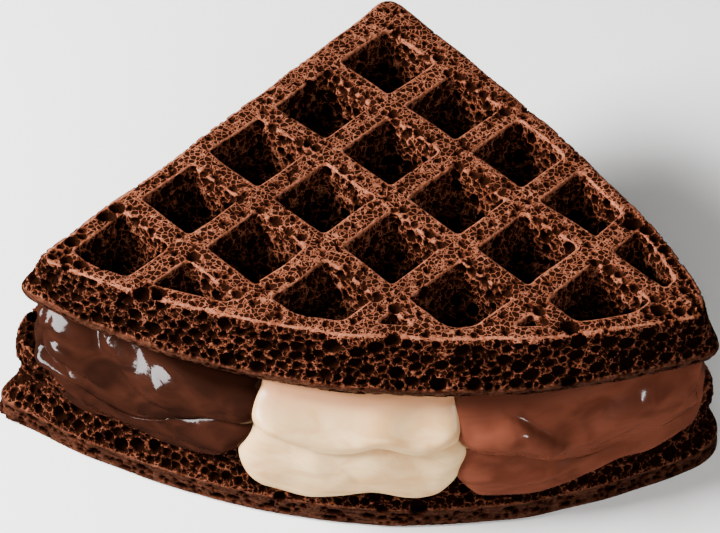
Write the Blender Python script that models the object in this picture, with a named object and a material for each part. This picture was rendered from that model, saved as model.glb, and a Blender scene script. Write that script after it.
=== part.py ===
"""Chocolate waffle sandwich: two porous quarter waffles round dark, cream and milk fillings.

Lengths are in metres and +Z is up.  The quarter's point is at the back and its bowed edge faces -Y.
Plans are drawn from the middle of the waffle grid's rearmost rib crossing.
"""

import math
import random
from collections import namedtuple

import bmesh
import bpy
from mathutils import Vector, noise

MM = 0.001

# A plan is a quarter seen from above: three corners, point first and then anticlockwise.  Each edge
# after a corner stands out by its bow, most where its lean says between its two ends, and each
# corner is rounded over its cut.
Plan = namedtuple("Plan", "corners bows leans cuts")

TOP_RIM = Plan(
    corners=((0.4 * MM, 6.6 * MM), (-60.4 * MM, -60.3 * MM), (52.6 * MM, -72.9 * MM)),
    bows=(-0.7 * MM, 11.8 * MM, 5.5 * MM),
    leans=(0.5, 0.5, 0.12),
    cuts=(4.0 * MM, 1.5 * MM, 2.5 * MM),
)
TOP_FLANGE = Plan(
    corners=((0.4 * MM, 10.0 * MM), (-65.8 * MM, -59.2 * MM), (57.6 * MM, -73.6 * MM)),
    bows=(-0.5 * MM, 16.2 * MM, 4.4 * MM),
    leans=(0.5, 0.5, 0.3),
    cuts=(6.0 * MM, 4.0 * MM, 4.0 * MM),
)
BOTTOM_FLANGE = Plan(
    corners=((-2.0 * MM, 10.0 * MM), (-72.5 * MM, -58.1 * MM), (62.3 * MM, -68.2 * MM)),
    bows=(0.5 * MM, 21.6 * MM, 4.0 * MM),
    leans=(0.5, 0.54, 0.4),
    cuts=(9.0 * MM, 4.7 * MM, 8.2 * MM),
)
BOTTOM_SLAB = Plan(
    corners=((-2.0 * MM, 6.5 * MM), (-72.2 * MM, -56.2 * MM), (60.6 * MM, -67.8 * MM)),
    bows=(0.5 * MM, 21.8 * MM, 3.6 * MM),
    leans=(0.5, 0.54, 0.4),
    cuts=(9.0 * MM, 13.0 * MM, 8.0 * MM),
)
FILLING = Plan(
    corners=((-0.5 * MM, 1.0 * MM), (-65.2 * MM, -59.2 * MM), (56.0 * MM, -70.0 * MM)),
    bows=(0.5 * MM, 22.0 * MM, 4.3 * MM),
    leans=(0.5, 0.5, 0.3),
    cuts=(6.0 * MM, 8.0 * MM, 8.0 * MM),
)

# Heights above the surface that the sandwich lies on.
HEIGHT = 44.0 * MM
TOP_UNDERSIDE = 32.2 * MM
BOTTOM_TOP = 18.0 * MM
CREASE = 19.6 * MM
GAP = 0.35 * MM

# Side walls from below upwards, as (height, share of the way from the first plan to the second).
# Each has a flange where the two halves of the waffle iron met, with the thinner half's rind beside it.
TOP_WALL = (
    (TOP_UNDERSIDE, 0.6),
    (32.8 * MM, 0.86),
    (34.0 * MM, 0.98),
    (34.7 * MM, 1.0),
    (35.7 * MM, 0.86),
    (36.7 * MM, 0.76),
    (38.5 * MM, 0.55),
    (40.4 * MM, 0.4),
    (42.2 * MM, 0.28),
    (43.4 * MM, 0.18),
    (HEIGHT, 0.0),
)
SKIRT_WALL = (
    (0.0, 0.1),
    (0.8 * MM, -0.2),
    (2.2 * MM, -0.12),
    (3.4 * MM, 0.05),
    (4.5 * MM, 0.0),
    (5.5 * MM, 0.25),
    (7.6 * MM, 0.85),
    (9.6 * MM, 1.5),
    (10.6 * MM, 1.6),
    (11.4 * MM, 1.25),
)
SLAB_WALL = (
    (13.2 * MM, 1.0),
    (15.2 * MM, 1.0),
    (17.0 * MM, 1.2),
    (BOTTOM_TOP, 1.65),
)

# The grid of pockets, whose ribs run 45 degrees from the front.
PITCH = 16.5 * MM
POCKET_WIDTH = 11.8 * MM
POCKET_DEPTH = 7.8 * MM
POCKET_CORNER = 1.1 * MM
POCKET_TAPER = 1.3 * MM
UNDERSIDE_POCKET_DEPTH = 3.2 * MM
RIM_WIDTH = 2.7 * MM
GRID_COUNT = 7
LEAST_POCKET_SHARE = 0.02
CUTTER_OVERSHOOT = 0.6 * MM

# The filling's two lobes and where its three chocolates meet: each divider is a line from the
# back to the front.
LOBE_RECESS = 2.2 * MM
UPPER_BULGE = 2.7 * MM
LOWER_BULGE = 3.3 * MM
LOBE_LEVELS = 7
DARK_DROOP = 12.0 * MM
CREAM_DROOP = 9.2 * MM
MILK_DROOP = 8.8 * MM
DARK_SWELL = -0.4 * MM
CREAM_SWELL = 0.5 * MM
MILK_SWELL = 0.0
DARK_DIVIDER = ((-4.0 * MM, 0.0), (-24.0 * MM, -84.0 * MM))
MILK_DIVIDER = ((2.4 * MM, 0.0), (11.4 * MM, -84.0 * MM))
VALLEY_WIDTH = 2.4 * MM
VALLEY_DEPTH = 1.5 * MM
DIVIDER_GAP = 0.3 * MM

# Relief: the pores that break the waffles' walls, and the unevenness of the fillings.
CRAG_DEPTH = 0.4 * MM
CRAG_SIZE = 5.0 * MM
PORE_DEPTH = 0.9 * MM
PORE_SHARE = 0.2
FOLD_DEPTH = 0.4 * MM
FOLD_SIZE = 11.0 * MM

# Steps along a plan's left edge, front, right edge and each corner.
WALL_STEPS = (40, 54, 40, 4)
FILLING_STEPS = (16, 60, 16, 4)
CUTTER_STEPS = (2, 16, 6, 3)

COLOURS = {
    "waffle": ("5b3020", 0.75),
    "dark": ("32140b", 0.12),
    "cream": ("e6d8c2", 0.38),
    "milk": ("7c452e", 0.3),
}


def clear_scene():
    for item in list(bpy.data.objects):
        bpy.data.objects.remove(item, do_unlink=True)


def linear(channel):
    """The linear value of an sRGB channel from 0 to 1."""
    return channel / 12.92 if channel <= 0.04045 else ((channel + 0.055) / 1.055) ** 2.4


def material(name):
    code, roughness = COLOURS[name]
    made = bpy.data.materials.new(name)
    made.use_nodes = True
    shader = made.node_tree.nodes["Principled BSDF"]
    colour = [linear(int(code[i : i + 2], 16) / 255) for i in (0, 2, 4)]
    shader.inputs["Base Color"].default_value = (*colour, 1.0)
    shader.inputs["Roughness"].default_value = roughness
    shader.inputs["Metallic"].default_value = 0.0
    return made


def blend(first, second, share):
    """The plan that lies a share of the way from the first plan to the second."""

    def mixed(a, b):
        return a + (b - a) * share

    return Plan(
        corners=[[mixed(p, q) for p, q in zip(a, b)] for a, b in zip(first.corners, second.corners)],
        bows=[mixed(a, b) for a, b in zip(first.bows, second.bows)],
        leans=[mixed(a, b) for a, b in zip(first.leans, second.leans)],
        cuts=[mixed(a, b) for a, b in zip(first.cuts, second.cuts)],
    )


def outward(along):
    """The outward normal of a step along an anticlockwise ring."""
    return Vector((along.y, -along.x)).normalized()


def edge_control(plan, corners, i):
    """The middle control point of the quadratic curve that edge i follows."""
    start = corners[i]
    end = corners[(i + 1) % 3]
    return start.lerp(end, plan.leans[i]) + outward(end - start) * 2 * plan.bows[i]


def grown_corners(plan, growth):
    """Each corner moved so that both its edges lie outwards by growth, with its cut to match."""
    corners = [Vector(corner) for corner in plan.corners]
    controls = [edge_control(plan, corners, i) for i in range(3)]
    moved = []
    cuts = []
    for i in range(3):
        before = outward(corners[i] - controls[i - 1])
        after = outward(controls[i] - corners[i])
        meeting = 1 + before.dot(after)
        moved.append(corners[i] + (before + after) * growth / meeting)
        cuts.append(max(plan.cuts[i] + growth * (before - after).length / meeting, MM))
    return moved, cuts


def outline(plan, growth, steps):
    """The plan's ring of points, anticlockwise from the point of the quarter, grown by growth."""
    corners, cuts = grown_corners(plan, growth)
    stretches = []
    for i in range(3):
        start = corners[i]
        end = corners[(i + 1) % 3]
        control = edge_control(plan, corners, i)
        first = cuts[i] / (2 * (control - start).length)
        last = 1 - cuts[(i + 1) % 3] / (2 * (end - control).length)
        stretch = []
        for k in range(steps[i] + 1):
            t = first + (last - first) * k / steps[i]
            stretch.append(start.lerp(control, t).lerp(control.lerp(end, t), t))
        stretches.append(stretch)
    ring = []
    for i in range(3):
        ring += stretches[i]
        a = stretches[i][-1]
        b = corners[(i + 1) % 3]
        c = stretches[(i + 1) % 3][0]
        for k in range(1, steps[3]):
            t = k / steps[3]
            ring.append(a.lerp(b, t).lerp(b.lerp(c, t), t))
    return ring


def normals(ring):
    """The outward normal at each point of an anticlockwise ring."""
    return [outward(ring[(i + 1) % len(ring)] - ring[i - 1]) for i in range(len(ring))]


def stack(mesh, rings):
    """A closed body through equal rings of 3-D points, from its lowest ring upwards."""
    layers = [[mesh.verts.new(point) for point in ring] for ring in rings]
    count = len(rings[0])
    for lower, upper in zip(layers, layers[1:]):
        for i in range(count):
            j = (i + 1) % count
            mesh.faces.new((lower[i], lower[j], upper[j], upper[i]))
    mesh.faces.new(layers[0][::-1])
    mesh.faces.new(layers[-1])


def put_in_scene(name, mesh, colour=None):
    data = bpy.data.meshes.new(name)
    mesh.to_mesh(data)
    mesh.free()
    made = bpy.data.objects.new(name, data)
    bpy.context.scene.collection.objects.link(made)
    if colour:
        data.materials.append(material(colour))
    return made


def as_cutter(made):
    made.hide_render = True
    made.display_type = "WIRE"
    return made


def add_boolean(made, operation, other, solver="EXACT"):
    cut = made.modifiers.new(f"{operation.lower()} {other.name}", "BOOLEAN")
    cut.operation = operation
    cut.solver = solver
    cut.object = other


def waffle_rings(plans, wall, seed, extra=0.0):
    """Rings up a waffle's wall, with crags and pores unless grown by extra for clearance."""
    draw = random.Random(seed)
    rings = []
    for height, share in wall:
        flat = outline(blend(*plans, share), extra, WALL_STEPS)
        ring = []
        for point, out in zip(flat, normals(flat)):
            place = Vector((point.x, point.y, height)) / CRAG_SIZE
            crag = CRAG_DEPTH * noise.noise(place + Vector((seed, 0, 0)))
            pore = PORE_DEPTH if draw.random() < PORE_SHARE and not extra else 0.0
            moved = point + out * (crag - pore + extra)
            ring.append((moved.x, moved.y, height))
        rings.append(ring)
    return rings


def pocket_share(middle, half, ring):
    """The share of a pocket's square that lies inside a convex ring."""
    samples = 12
    inside = 0
    for i in range(samples):
        for j in range(samples):
            u = (2 * (i + 0.5) / samples - 1) * half
            v = (2 * (j + 0.5) / samples - 1) * half
            x, y = grid_point(u, v)
            point = middle + Vector((x, y))
            sides = zip(ring, ring[1:] + ring[:1])
            inside += all((b - a).cross(point - a) > 0 for a, b in sides)
    return inside / samples**2


def grid_point(u, v):
    """The x and y of a step of u along the ribs to the front left and v to the front right."""
    return (v - u) * math.sqrt(0.5), -(u + v) * math.sqrt(0.5)


def pocket_ring(middle, half, height):
    """A square pocket's outline at one height, its corners cut off, anticlockwise."""
    cut = min(POCKET_CORNER, half / 2)
    corners = ((-half, -half), (half, -half), (half, half), (-half, half))
    ring = []
    for i, (u, v) in enumerate(corners):
        before = corners[i - 1]
        after = corners[(i + 1) % 4]
        for toward in (before, after):
            share = cut / (2 * half)
            x, y = grid_point(u + (toward[0] - u) * share, v + (toward[1] - v) * share)
            ring.append((middle.x + x, middle.y + y, height))
    return ring


def pocket_cutter(name, plan, surface, depth, sign):
    """The pockets as one cutter, going down from surface for sign -1 and up for sign 1."""
    half = POCKET_WIDTH / 2
    rim = outline(plan, -RIM_WIDTH, CUTTER_STEPS)
    levels = sorted(
        (surface + sign * reach, half - POCKET_TAPER * reach / depth)
        for reach in (-CUTTER_OVERSHOOT, depth)
    )
    mesh = bmesh.new()
    for a in range(GRID_COUNT):
        for b in range(GRID_COUNT):
            middle = Vector(grid_point((a + 0.5) * PITCH, (b + 0.5) * PITCH))
            if pocket_share(middle, half, rim) >= LEAST_POCKET_SHARE:
                stack(mesh, [pocket_ring(middle, width, height) for height, width in levels])
    bmesh.ops.recalc_face_normals(mesh, faces=mesh.faces)
    pockets = as_cutter(put_in_scene(name, mesh))

    field = bmesh.new()
    rings = []
    for height, width in levels:
        inner = outline(plan, width - half - RIM_WIDTH, CUTTER_STEPS)
        beyond = CUTTER_OVERSHOOT * (1 if height == levels[1][0] else -1)
        rings.append([(point.x, point.y, height + beyond) for point in inner])
    stack(field, rings)
    add_boolean(pockets, "INTERSECT", as_cutter(put_in_scene(f"{name} field", field)))
    return pockets


def waffle(name, plans, wall, seed):
    mesh = bmesh.new()
    stack(mesh, waffle_rings(plans, wall, seed))
    return put_in_scene(name, mesh, "waffle")


def beside(line, point):
    """How far a point lies to the right of a divider, seen from the front."""
    start = Vector(line[0])
    along = (Vector(line[1]) - start).normalized()
    return along.cross(point - start)


def lobe_growth(height, droop):
    """How far the filling stands out at a height: two rounded lobes with a crease between them."""
    if height > CREASE:
        place = (height - CREASE) / (TOP_UNDERSIDE - GAP - CREASE)
        bulge = UPPER_BULGE
    else:
        place = (CREASE - height) / (CREASE - droop)
        bulge = LOWER_BULGE
    return -LOBE_RECESS + bulge * math.sqrt(max(1 - (2 * place - 1) ** 2, 0.0))


def filling_rings(droop, swell):
    """Rings up the whole filling, with a valley at each divider and gentle unevenness."""
    lower = [droop + (CREASE - droop) * k / LOBE_LEVELS for k in range(LOBE_LEVELS)]
    rise = TOP_UNDERSIDE - GAP - CREASE
    upper = [CREASE + rise * k / LOBE_LEVELS for k in range(LOBE_LEVELS + 1)]
    rings = []
    for height in lower + upper:
        flat = outline(FILLING, lobe_growth(height, droop) + swell, FILLING_STEPS)
        ring = []
        for point, out in zip(flat, normals(flat)):
            valley = 0.0
            for line in (DARK_DIVIDER, MILK_DIVIDER):
                valley += math.exp(-((beside(line, point) / VALLEY_WIDTH) ** 2))
            place = Vector((point.x, point.y, height)) / FOLD_SIZE
            moved = point + out * (FOLD_DEPTH * noise.noise(place) - VALLEY_DEPTH * valley)
            ring.append((moved.x, moved.y, height))
        rings.append(ring)
    return rings


def keep_side(mesh, line, side):
    """Cuts a body along a divider, keeping its right-hand part for side 1 and left for -1."""
    start = Vector(line[0])
    along = (Vector(line[1]) - start).normalized()
    right = Vector((-along.y, along.x, 0)) * side
    place = Vector((start.x, start.y, 0)) + right * DIVIDER_GAP / 2
    geometry = mesh.verts[:] + mesh.edges[:] + mesh.faces[:]
    cut = bmesh.ops.bisect_plane(mesh, geom=geometry, plane_co=place, plane_no=right, clear_inner=True)
    edges = [item for item in cut["geom_cut"] if isinstance(item, bmesh.types.BMEdge)]
    bmesh.ops.contextual_create(mesh, geom=edges)


def filling(name, colour, droop, swell, cuts, slab):
    """One chocolate: the whole filling kept between its dividers and cleared of the lower waffle."""
    mesh = bmesh.new()
    stack(mesh, filling_rings(droop, swell))
    for line, side in cuts:
        keep_side(mesh, line, side)
    bmesh.ops.recalc_face_normals(mesh, faces=mesh.faces)
    made = put_in_scene(name, mesh, colour)
    add_boolean(made, "DIFFERENCE", slab)
    return made


def clearance_slab():
    """The lower waffle's slab grown by the gap that the fillings keep from it."""
    below = ((MILK_DROOP - MM, SLAB_WALL[0][1]),)
    above = ((BOTTOM_TOP + GAP, SLAB_WALL[-1][1]),)
    rings = waffle_rings((BOTTOM_FLANGE, BOTTOM_SLAB), below + SLAB_WALL[:-1] + above, seed=2, extra=GAP)
    mesh = bmesh.new()
    stack(mesh, rings)
    return as_cutter(put_in_scene("clearance slab", mesh))


def centre(pieces):
    """Moves all the pieces alike, so that their common box stands centred on the origin."""
    graph = bpy.context.evaluated_depsgraph_get()
    points = []
    for piece in pieces:
        shown = piece.evaluated_get(graph).to_mesh()
        points += [vertex.co.copy() for vertex in shown.vertices]
    low = Vector([min(point[i] for point in points) for i in range(3)])
    high = Vector([max(point[i] for point in points) for i in range(3)])
    shift = Vector((-(low.x + high.x) / 2, -(low.y + high.y) / 2, -low.z))
    for item in bpy.data.objects:
        item.location = shift
    return shift


def build():
    clear_scene()
    top = waffle("waffle_top", (TOP_RIM, TOP_FLANGE), TOP_WALL, seed=1)
    add_boolean(top, "DIFFERENCE", pocket_cutter("top pockets", TOP_RIM, HEIGHT, POCKET_DEPTH, -1))
    bottom = waffle("waffle_bottom", (BOTTOM_FLANGE, BOTTOM_SLAB), SKIRT_WALL + SLAB_WALL, seed=2)
    base = blend(BOTTOM_FLANGE, BOTTOM_SLAB, SKIRT_WALL[0][1])
    sunk = pocket_cutter("base pockets", base, 0.0, UNDERSIDE_POCKET_DEPTH, 1)
    add_boolean(bottom, "DIFFERENCE", sunk, solver="MANIFOLD")
    slab = clearance_slab()
    dark_cuts = [(DARK_DIVIDER, -1)]
    cream_cuts = [(DARK_DIVIDER, 1), (MILK_DIVIDER, -1)]
    milk_cuts = [(MILK_DIVIDER, 1)]
    pieces = [
        top,
        bottom,
        filling("filling_dark", "dark", DARK_DROOP, DARK_SWELL, dark_cuts, slab),
        filling("filling_cream", "cream", CREAM_DROOP, CREAM_SWELL, cream_cuts, slab),
        filling("filling_milk", "milk", MILK_DROOP, MILK_SWELL, milk_cuts, slab),
    ]
    print("grid origin", centre(pieces))


build()
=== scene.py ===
"""Looks of the chocolate waffle sandwich: foamed crumb, dark, cream and milk fillings, light and camera."""

import math
from collections import namedtuple

import bpy
import numpy as np
from mathutils import Matrix, Vector


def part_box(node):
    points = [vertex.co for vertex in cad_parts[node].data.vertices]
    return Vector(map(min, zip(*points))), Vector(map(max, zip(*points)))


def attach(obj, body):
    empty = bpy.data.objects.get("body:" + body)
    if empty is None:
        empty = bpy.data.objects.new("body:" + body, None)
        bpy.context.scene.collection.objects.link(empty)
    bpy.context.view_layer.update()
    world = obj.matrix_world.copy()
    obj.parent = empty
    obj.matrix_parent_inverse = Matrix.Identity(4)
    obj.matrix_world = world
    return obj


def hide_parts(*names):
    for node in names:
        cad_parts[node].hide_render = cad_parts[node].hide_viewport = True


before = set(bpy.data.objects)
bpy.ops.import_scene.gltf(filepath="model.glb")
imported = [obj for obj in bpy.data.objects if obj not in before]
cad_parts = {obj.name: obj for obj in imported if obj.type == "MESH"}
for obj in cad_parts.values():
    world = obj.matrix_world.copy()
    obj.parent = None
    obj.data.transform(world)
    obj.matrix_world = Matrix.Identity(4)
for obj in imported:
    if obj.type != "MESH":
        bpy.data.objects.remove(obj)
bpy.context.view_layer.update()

MM = 0.001

# ----- Sizes -----
# They are in millimetres.  Plans are drawn from the middle of the grid's rearmost rib crossing, which
# stands at GRID_ORIGIN in the frame, and heights are from the surface below the sandwich.

GRID_ORIGIN = (5.8, 39.8)
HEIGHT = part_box("waffle_top")[1][2] / MM
TOP_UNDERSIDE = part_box("waffle_top")[0][2] / MM
BOTTOM_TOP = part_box("waffle_bottom")[1][2] / MM

# A plan is a quarter seen from above: three corners, point first and then anticlockwise.  Each edge
# after a corner stands out by its bow, most where its lean says, and each corner is rounded.
Plan = namedtuple("Plan", "corners bows leans cuts")

TOP_RIM = Plan(
    corners=((0.4, 6.6), (-60.4, -60.3), (52.6, -72.9)),
    bows=(-0.7, 11.8, 5.5),
    leans=(0.5, 0.5, 0.12),
    cuts=(4.0, 1.5, 2.5),
)
TOP_FLANGE = Plan(
    corners=((0.4, 10.0), (-65.8, -59.2), (57.6, -73.6)),
    bows=(-0.5, 16.2, 4.4),
    leans=(0.5, 0.5, 0.3),
    cuts=(6.0, 4.0, 4.0),
)
BOTTOM_FLANGE = Plan(
    corners=((-2.0, 10.0), (-72.5, -58.1), (62.3, -68.2)),
    bows=(0.5, 21.6, 4.0),
    leans=(0.5, 0.54, 0.4),
    cuts=(9.0, 4.7, 8.2),
)
BOTTOM_SLAB = Plan(
    corners=((-2.0, 6.5), (-72.2, -56.2), (60.6, -67.8)),
    bows=(0.5, 21.8, 3.6),
    leans=(0.5, 0.54, 0.4),
    cuts=(9.0, 13.0, 8.0),
)
FILLING = Plan(
    corners=((-0.5, 1.0), (-65.2, -59.2), (56.0, -70.0)),
    bows=(0.5, 22.0, 4.3),
    leans=(0.5, 0.5, 0.3),
    cuts=(6.0, 8.0, 8.0),
)

# Side walls as (height, share of the way from the first plan to the second).
TOP_WALL = (
    (TOP_UNDERSIDE, 0.6),
    (33.0, 0.92),
    (34.4, 1.0),
    (35.2, 0.92),
    (36.7, 0.76),
    (38.5, 0.55),
    (40.4, 0.4),
    (42.2, 0.28),
    (43.4, 0.18),
    (HEIGHT, 0.0),
)
BOTTOM_WALL = (
    (0.0, 0.1),
    (0.7, -0.22),
    (2.0, -0.14),
    (3.5, 0.06),
    (4.3, -0.05),
    (4.8, 0.04),
    (5.5, 0.25),
    (7.6, 0.85),
    (9.6, 1.5),
    (10.6, 1.6),
    (11.4, 1.25),
    (13.2, 1.0),
    (15.2, 1.0),
    (17.0, 1.2),
    (BOTTOM_TOP, 1.65),
)

PITCH = 16.5
POCKET_WIDTH = 12.2
POCKET_DEPTH = 7.8
POCKET_TAPER = 1.3
POCKET_CORNER = 0.9
UNDERSIDE_POCKET_DEPTH = 3.2
RIM_WIDTH = 2.7

OUTLINE_STEPS = 48

# The baked quarter sags a little towards its two wide corners and its edges are not quite true.
SAG = (0.6, 1.0)
SAG_REACH = 58.0
WOBBLE = 0.35
WOBBLE_SIZE = 8.0

# Crumb: node spacing along x, y and z of the field that each waffle's surface is drawn from.
TOP_SPACING = (0.31, 0.31, 0.36)
BOTTOM_SPACING = (0.37, 0.37, 0.37)
FIELD_MARGIN = 1.2
PORE_PITCH = 0.95 * MM
PIECE_TRIANGLES = 185_000
CRUMB_ATTRIBUTES = ("pit", "sunk", "rind", "rim", "wall")
RIM_REACH = 0.32

# Heights of each flange's ridge, of the foot of the open crumb above it, and of the rind's upper end.
TOP_RIDGE, TOP_FOOT, TOP_RIND = 34.4, 34.6, 35.0
BOTTOM_RIDGE, BOTTOM_FOOT, BOTTOM_RIND = 4.6, 4.6, 4.8


# ----- Plans and distances -----


def outline(plan):
    """The plan's closed ring of points, (n, 2), anticlockwise.

    Each edge is a quadratic Bezier curve whose control point stands off its chord by twice the bow,
    and each corner is a quadratic Bezier curve from one edge's cut end to the next one's.
    """
    corners = np.array(plan.corners)
    t = np.linspace(0.0, 1.0, OUTLINE_STEPS)[:, None]
    edges = []
    for i in range(3):
        start = corners[i]
        end = corners[(i + 1) % 3]
        chord = end - start
        out = np.array([chord[1], -chord[0]]) / np.linalg.norm(chord)
        control = start + chord * plan.leans[i] + out * 2 * plan.bows[i]
        first = plan.cuts[i] / (2 * np.linalg.norm(control - start))
        last = 1 - plan.cuts[(i + 1) % 3] / (2 * np.linalg.norm(end - control))
        s = first + (last - first) * t
        edges.append((1 - s) ** 2 * start + 2 * s * (1 - s) * control + s**2 * end)
    ring = []
    for i in range(3):
        ring.append(edges[i])
        a = edges[i][-1]
        b = corners[(i + 1) % 3]
        c = edges[(i + 1) % 3][0]
        s = t[1:-1:4]
        ring.append((1 - s) ** 2 * a + 2 * s * (1 - s) * b + s**2 * c)
    return np.concatenate(ring)


def ring_distance(ring, x, y):
    """Signed distance from points to a closed ring, negative inside.

    The size is the least distance to any of the ring's segments, and the sign counts how many
    segments a ray to the right of the point crosses.
    """
    shape = np.broadcast(x, y).shape
    px = np.broadcast_to(x, shape).ravel()
    py = np.broadcast_to(y, shape).ravel()
    nearest = np.full(px.shape, np.inf)
    inside = np.zeros(px.shape, bool)
    for (ax, ay), (bx, by) in zip(ring, np.roll(ring, -1, axis=0)):
        ex, ey = bx - ax, by - ay
        t = np.clip(((px - ax) * ex + (py - ay) * ey) / (ex * ex + ey * ey), 0, 1)
        nearest = np.minimum(nearest, (px - ax - ex * t) ** 2 + (py - ay - ey * t) ** 2)
        if ey:
            inside ^= ((ay > py) != (by > py)) & (px < ax + (py - ay) * ex / ey)
    return (np.sqrt(nearest) * np.where(inside, -1, 1)).reshape(shape)


def smooth_max(a, b, width):
    """The larger of two distances, blended over width so that the edge between them is rounded."""
    h = np.maximum(width - np.abs(a - b), 0) / width
    return np.maximum(a, b) + h * h * width * 0.25


def smooth_step(x):
    """0 below 0, 1 above 1, and 3x^2 - 2x^3 between."""
    x = np.clip(x, 0, 1)
    return x * x * (3 - 2 * x)


def smooth_line(x, places):
    """A smooth curve through (x, value) places, level beyond them.

    Between two places it is a cubic whose slope at each is that of the line through its neighbours.
    """
    at, value = (np.array(column, float) for column in zip(*places))
    slope = np.gradient(value, at)
    slope[[0, -1]] = 0
    i = np.clip(np.searchsorted(at, x) - 1, 0, len(at) - 2)
    step = at[i + 1] - at[i]
    t = np.clip((x - at[i]) / step, 0, 1)
    rise = value[i] + (value[i + 1] - value[i]) * t * t * (3 - 2 * t)
    return rise + step * t * (1 - t) * (slope[i] * (1 - t) - slope[i + 1] * t)


def noise(points, size, seed):
    """Smooth noise from -1 to 1: random values on a lattice of cells of the given size, blended by a
    smooth step along each axis.  Points are two or three arrays of coordinates."""
    table = np.random.default_rng(seed).uniform(-1, 1, 4096)
    cells = []
    blends = []
    for p in points:
        q = np.asarray(p, float) / size
        whole = np.floor(q).astype(np.int64)
        cells.append(whole)
        blends.append(smooth_step(q - whole))
    total = 0.0
    for corner in range(1 << len(points)):
        weight = 1.0
        key = 0
        for axis, prime in zip(range(len(points)), (73856093, 19349663, 83492791)):
            step = corner >> axis & 1
            weight = weight * (blends[axis] if step else 1 - blends[axis])
            key = key ^ (cells[axis] + step) * prime
        total = total + weight * table[key & 4095]
    return total


# ----- A waffle's body as a field of distances -----

# axes: node coordinates along x, y and z.  body: distance to the waffle without its pores, negative
# inside.  side, face and pocket: distances to its side wall, its top or bottom and its pockets.
Field = namedtuple("Field", "axes low spacing body side face pocket")


def waffle_field(plans, wall, spacing, low, high, surface, depth, sag):
    """The distance field of a waffle whose grid of pockets is sunk in from the given surface.

    The side wall's distance is a mix of the distances to two plans, whose share changes with height.
    A pocket is a square with rounded corners that narrows towards its floor, and stays inside the rim.
    """
    sign = 1 if surface == high else -1
    rings = [outline(plan) for plan in plans]
    ends = [np.min([r.min(0) for r in rings], 0), np.max([r.max(0) for r in rings], 0)]
    axes = []
    for a, b, h in zip((*ends[0], low), (*ends[1], high), spacing):
        axes.append(a - FIELD_MARGIN + h * np.arange(int((b - a + 2 * FIELD_MARGIN) / h) + 2))
    x, y = axes[0][:, None], axes[1][None, :]
    bent_x = x + WOBBLE * noise((x + 0 * y, y + 0 * x), WOBBLE_SIZE, 11)
    bent_y = y + WOBBLE * noise((x + 0 * y, y + 0 * x), WOBBLE_SIZE, 12)
    first, second = (ring_distance(ring, bent_x, bent_y)[:, :, None] for ring in rings)
    drop = (np.where(x < 0, sag[0], sag[1]) * (x / SAG_REACH) ** 2 + 0 * y)[:, :, None]
    z = axes[2][None, None, :]
    z = z + drop * (z - low) / (high - low)
    heights, shares = zip(*wall)
    side = first + (second - first) * np.interp(z, heights, shares)
    face = np.maximum(z - high, low - z)
    reach = (surface - z) * sign
    narrowing = POCKET_TAPER * reach / depth
    across = np.mod((-bent_x - bent_y) / math.sqrt(2), PITCH) - PITCH / 2
    along = np.mod((bent_x - bent_y) / math.sqrt(2), PITCH) - PITCH / 2
    square = smooth_max(np.abs(across), np.abs(along), POCKET_CORNER)[:, :, None]
    rim = first + (second - first) * np.interp(surface, heights, shares)
    pocket = smooth_max(square - POCKET_WIDTH / 2, rim + RIM_WIDTH, 1.0) + narrowing
    pocket = smooth_max(pocket, reach - depth, 1.4)
    body = smooth_max(smooth_max(side, face, 0.8), -pocket, 0.45)
    arrays = (a.astype(np.float32) for a in (body, side, face, pocket))
    return Field(axes, np.array([a[0] for a in axes]), np.array(spacing), *arrays)


# ----- Crumb -----


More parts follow.
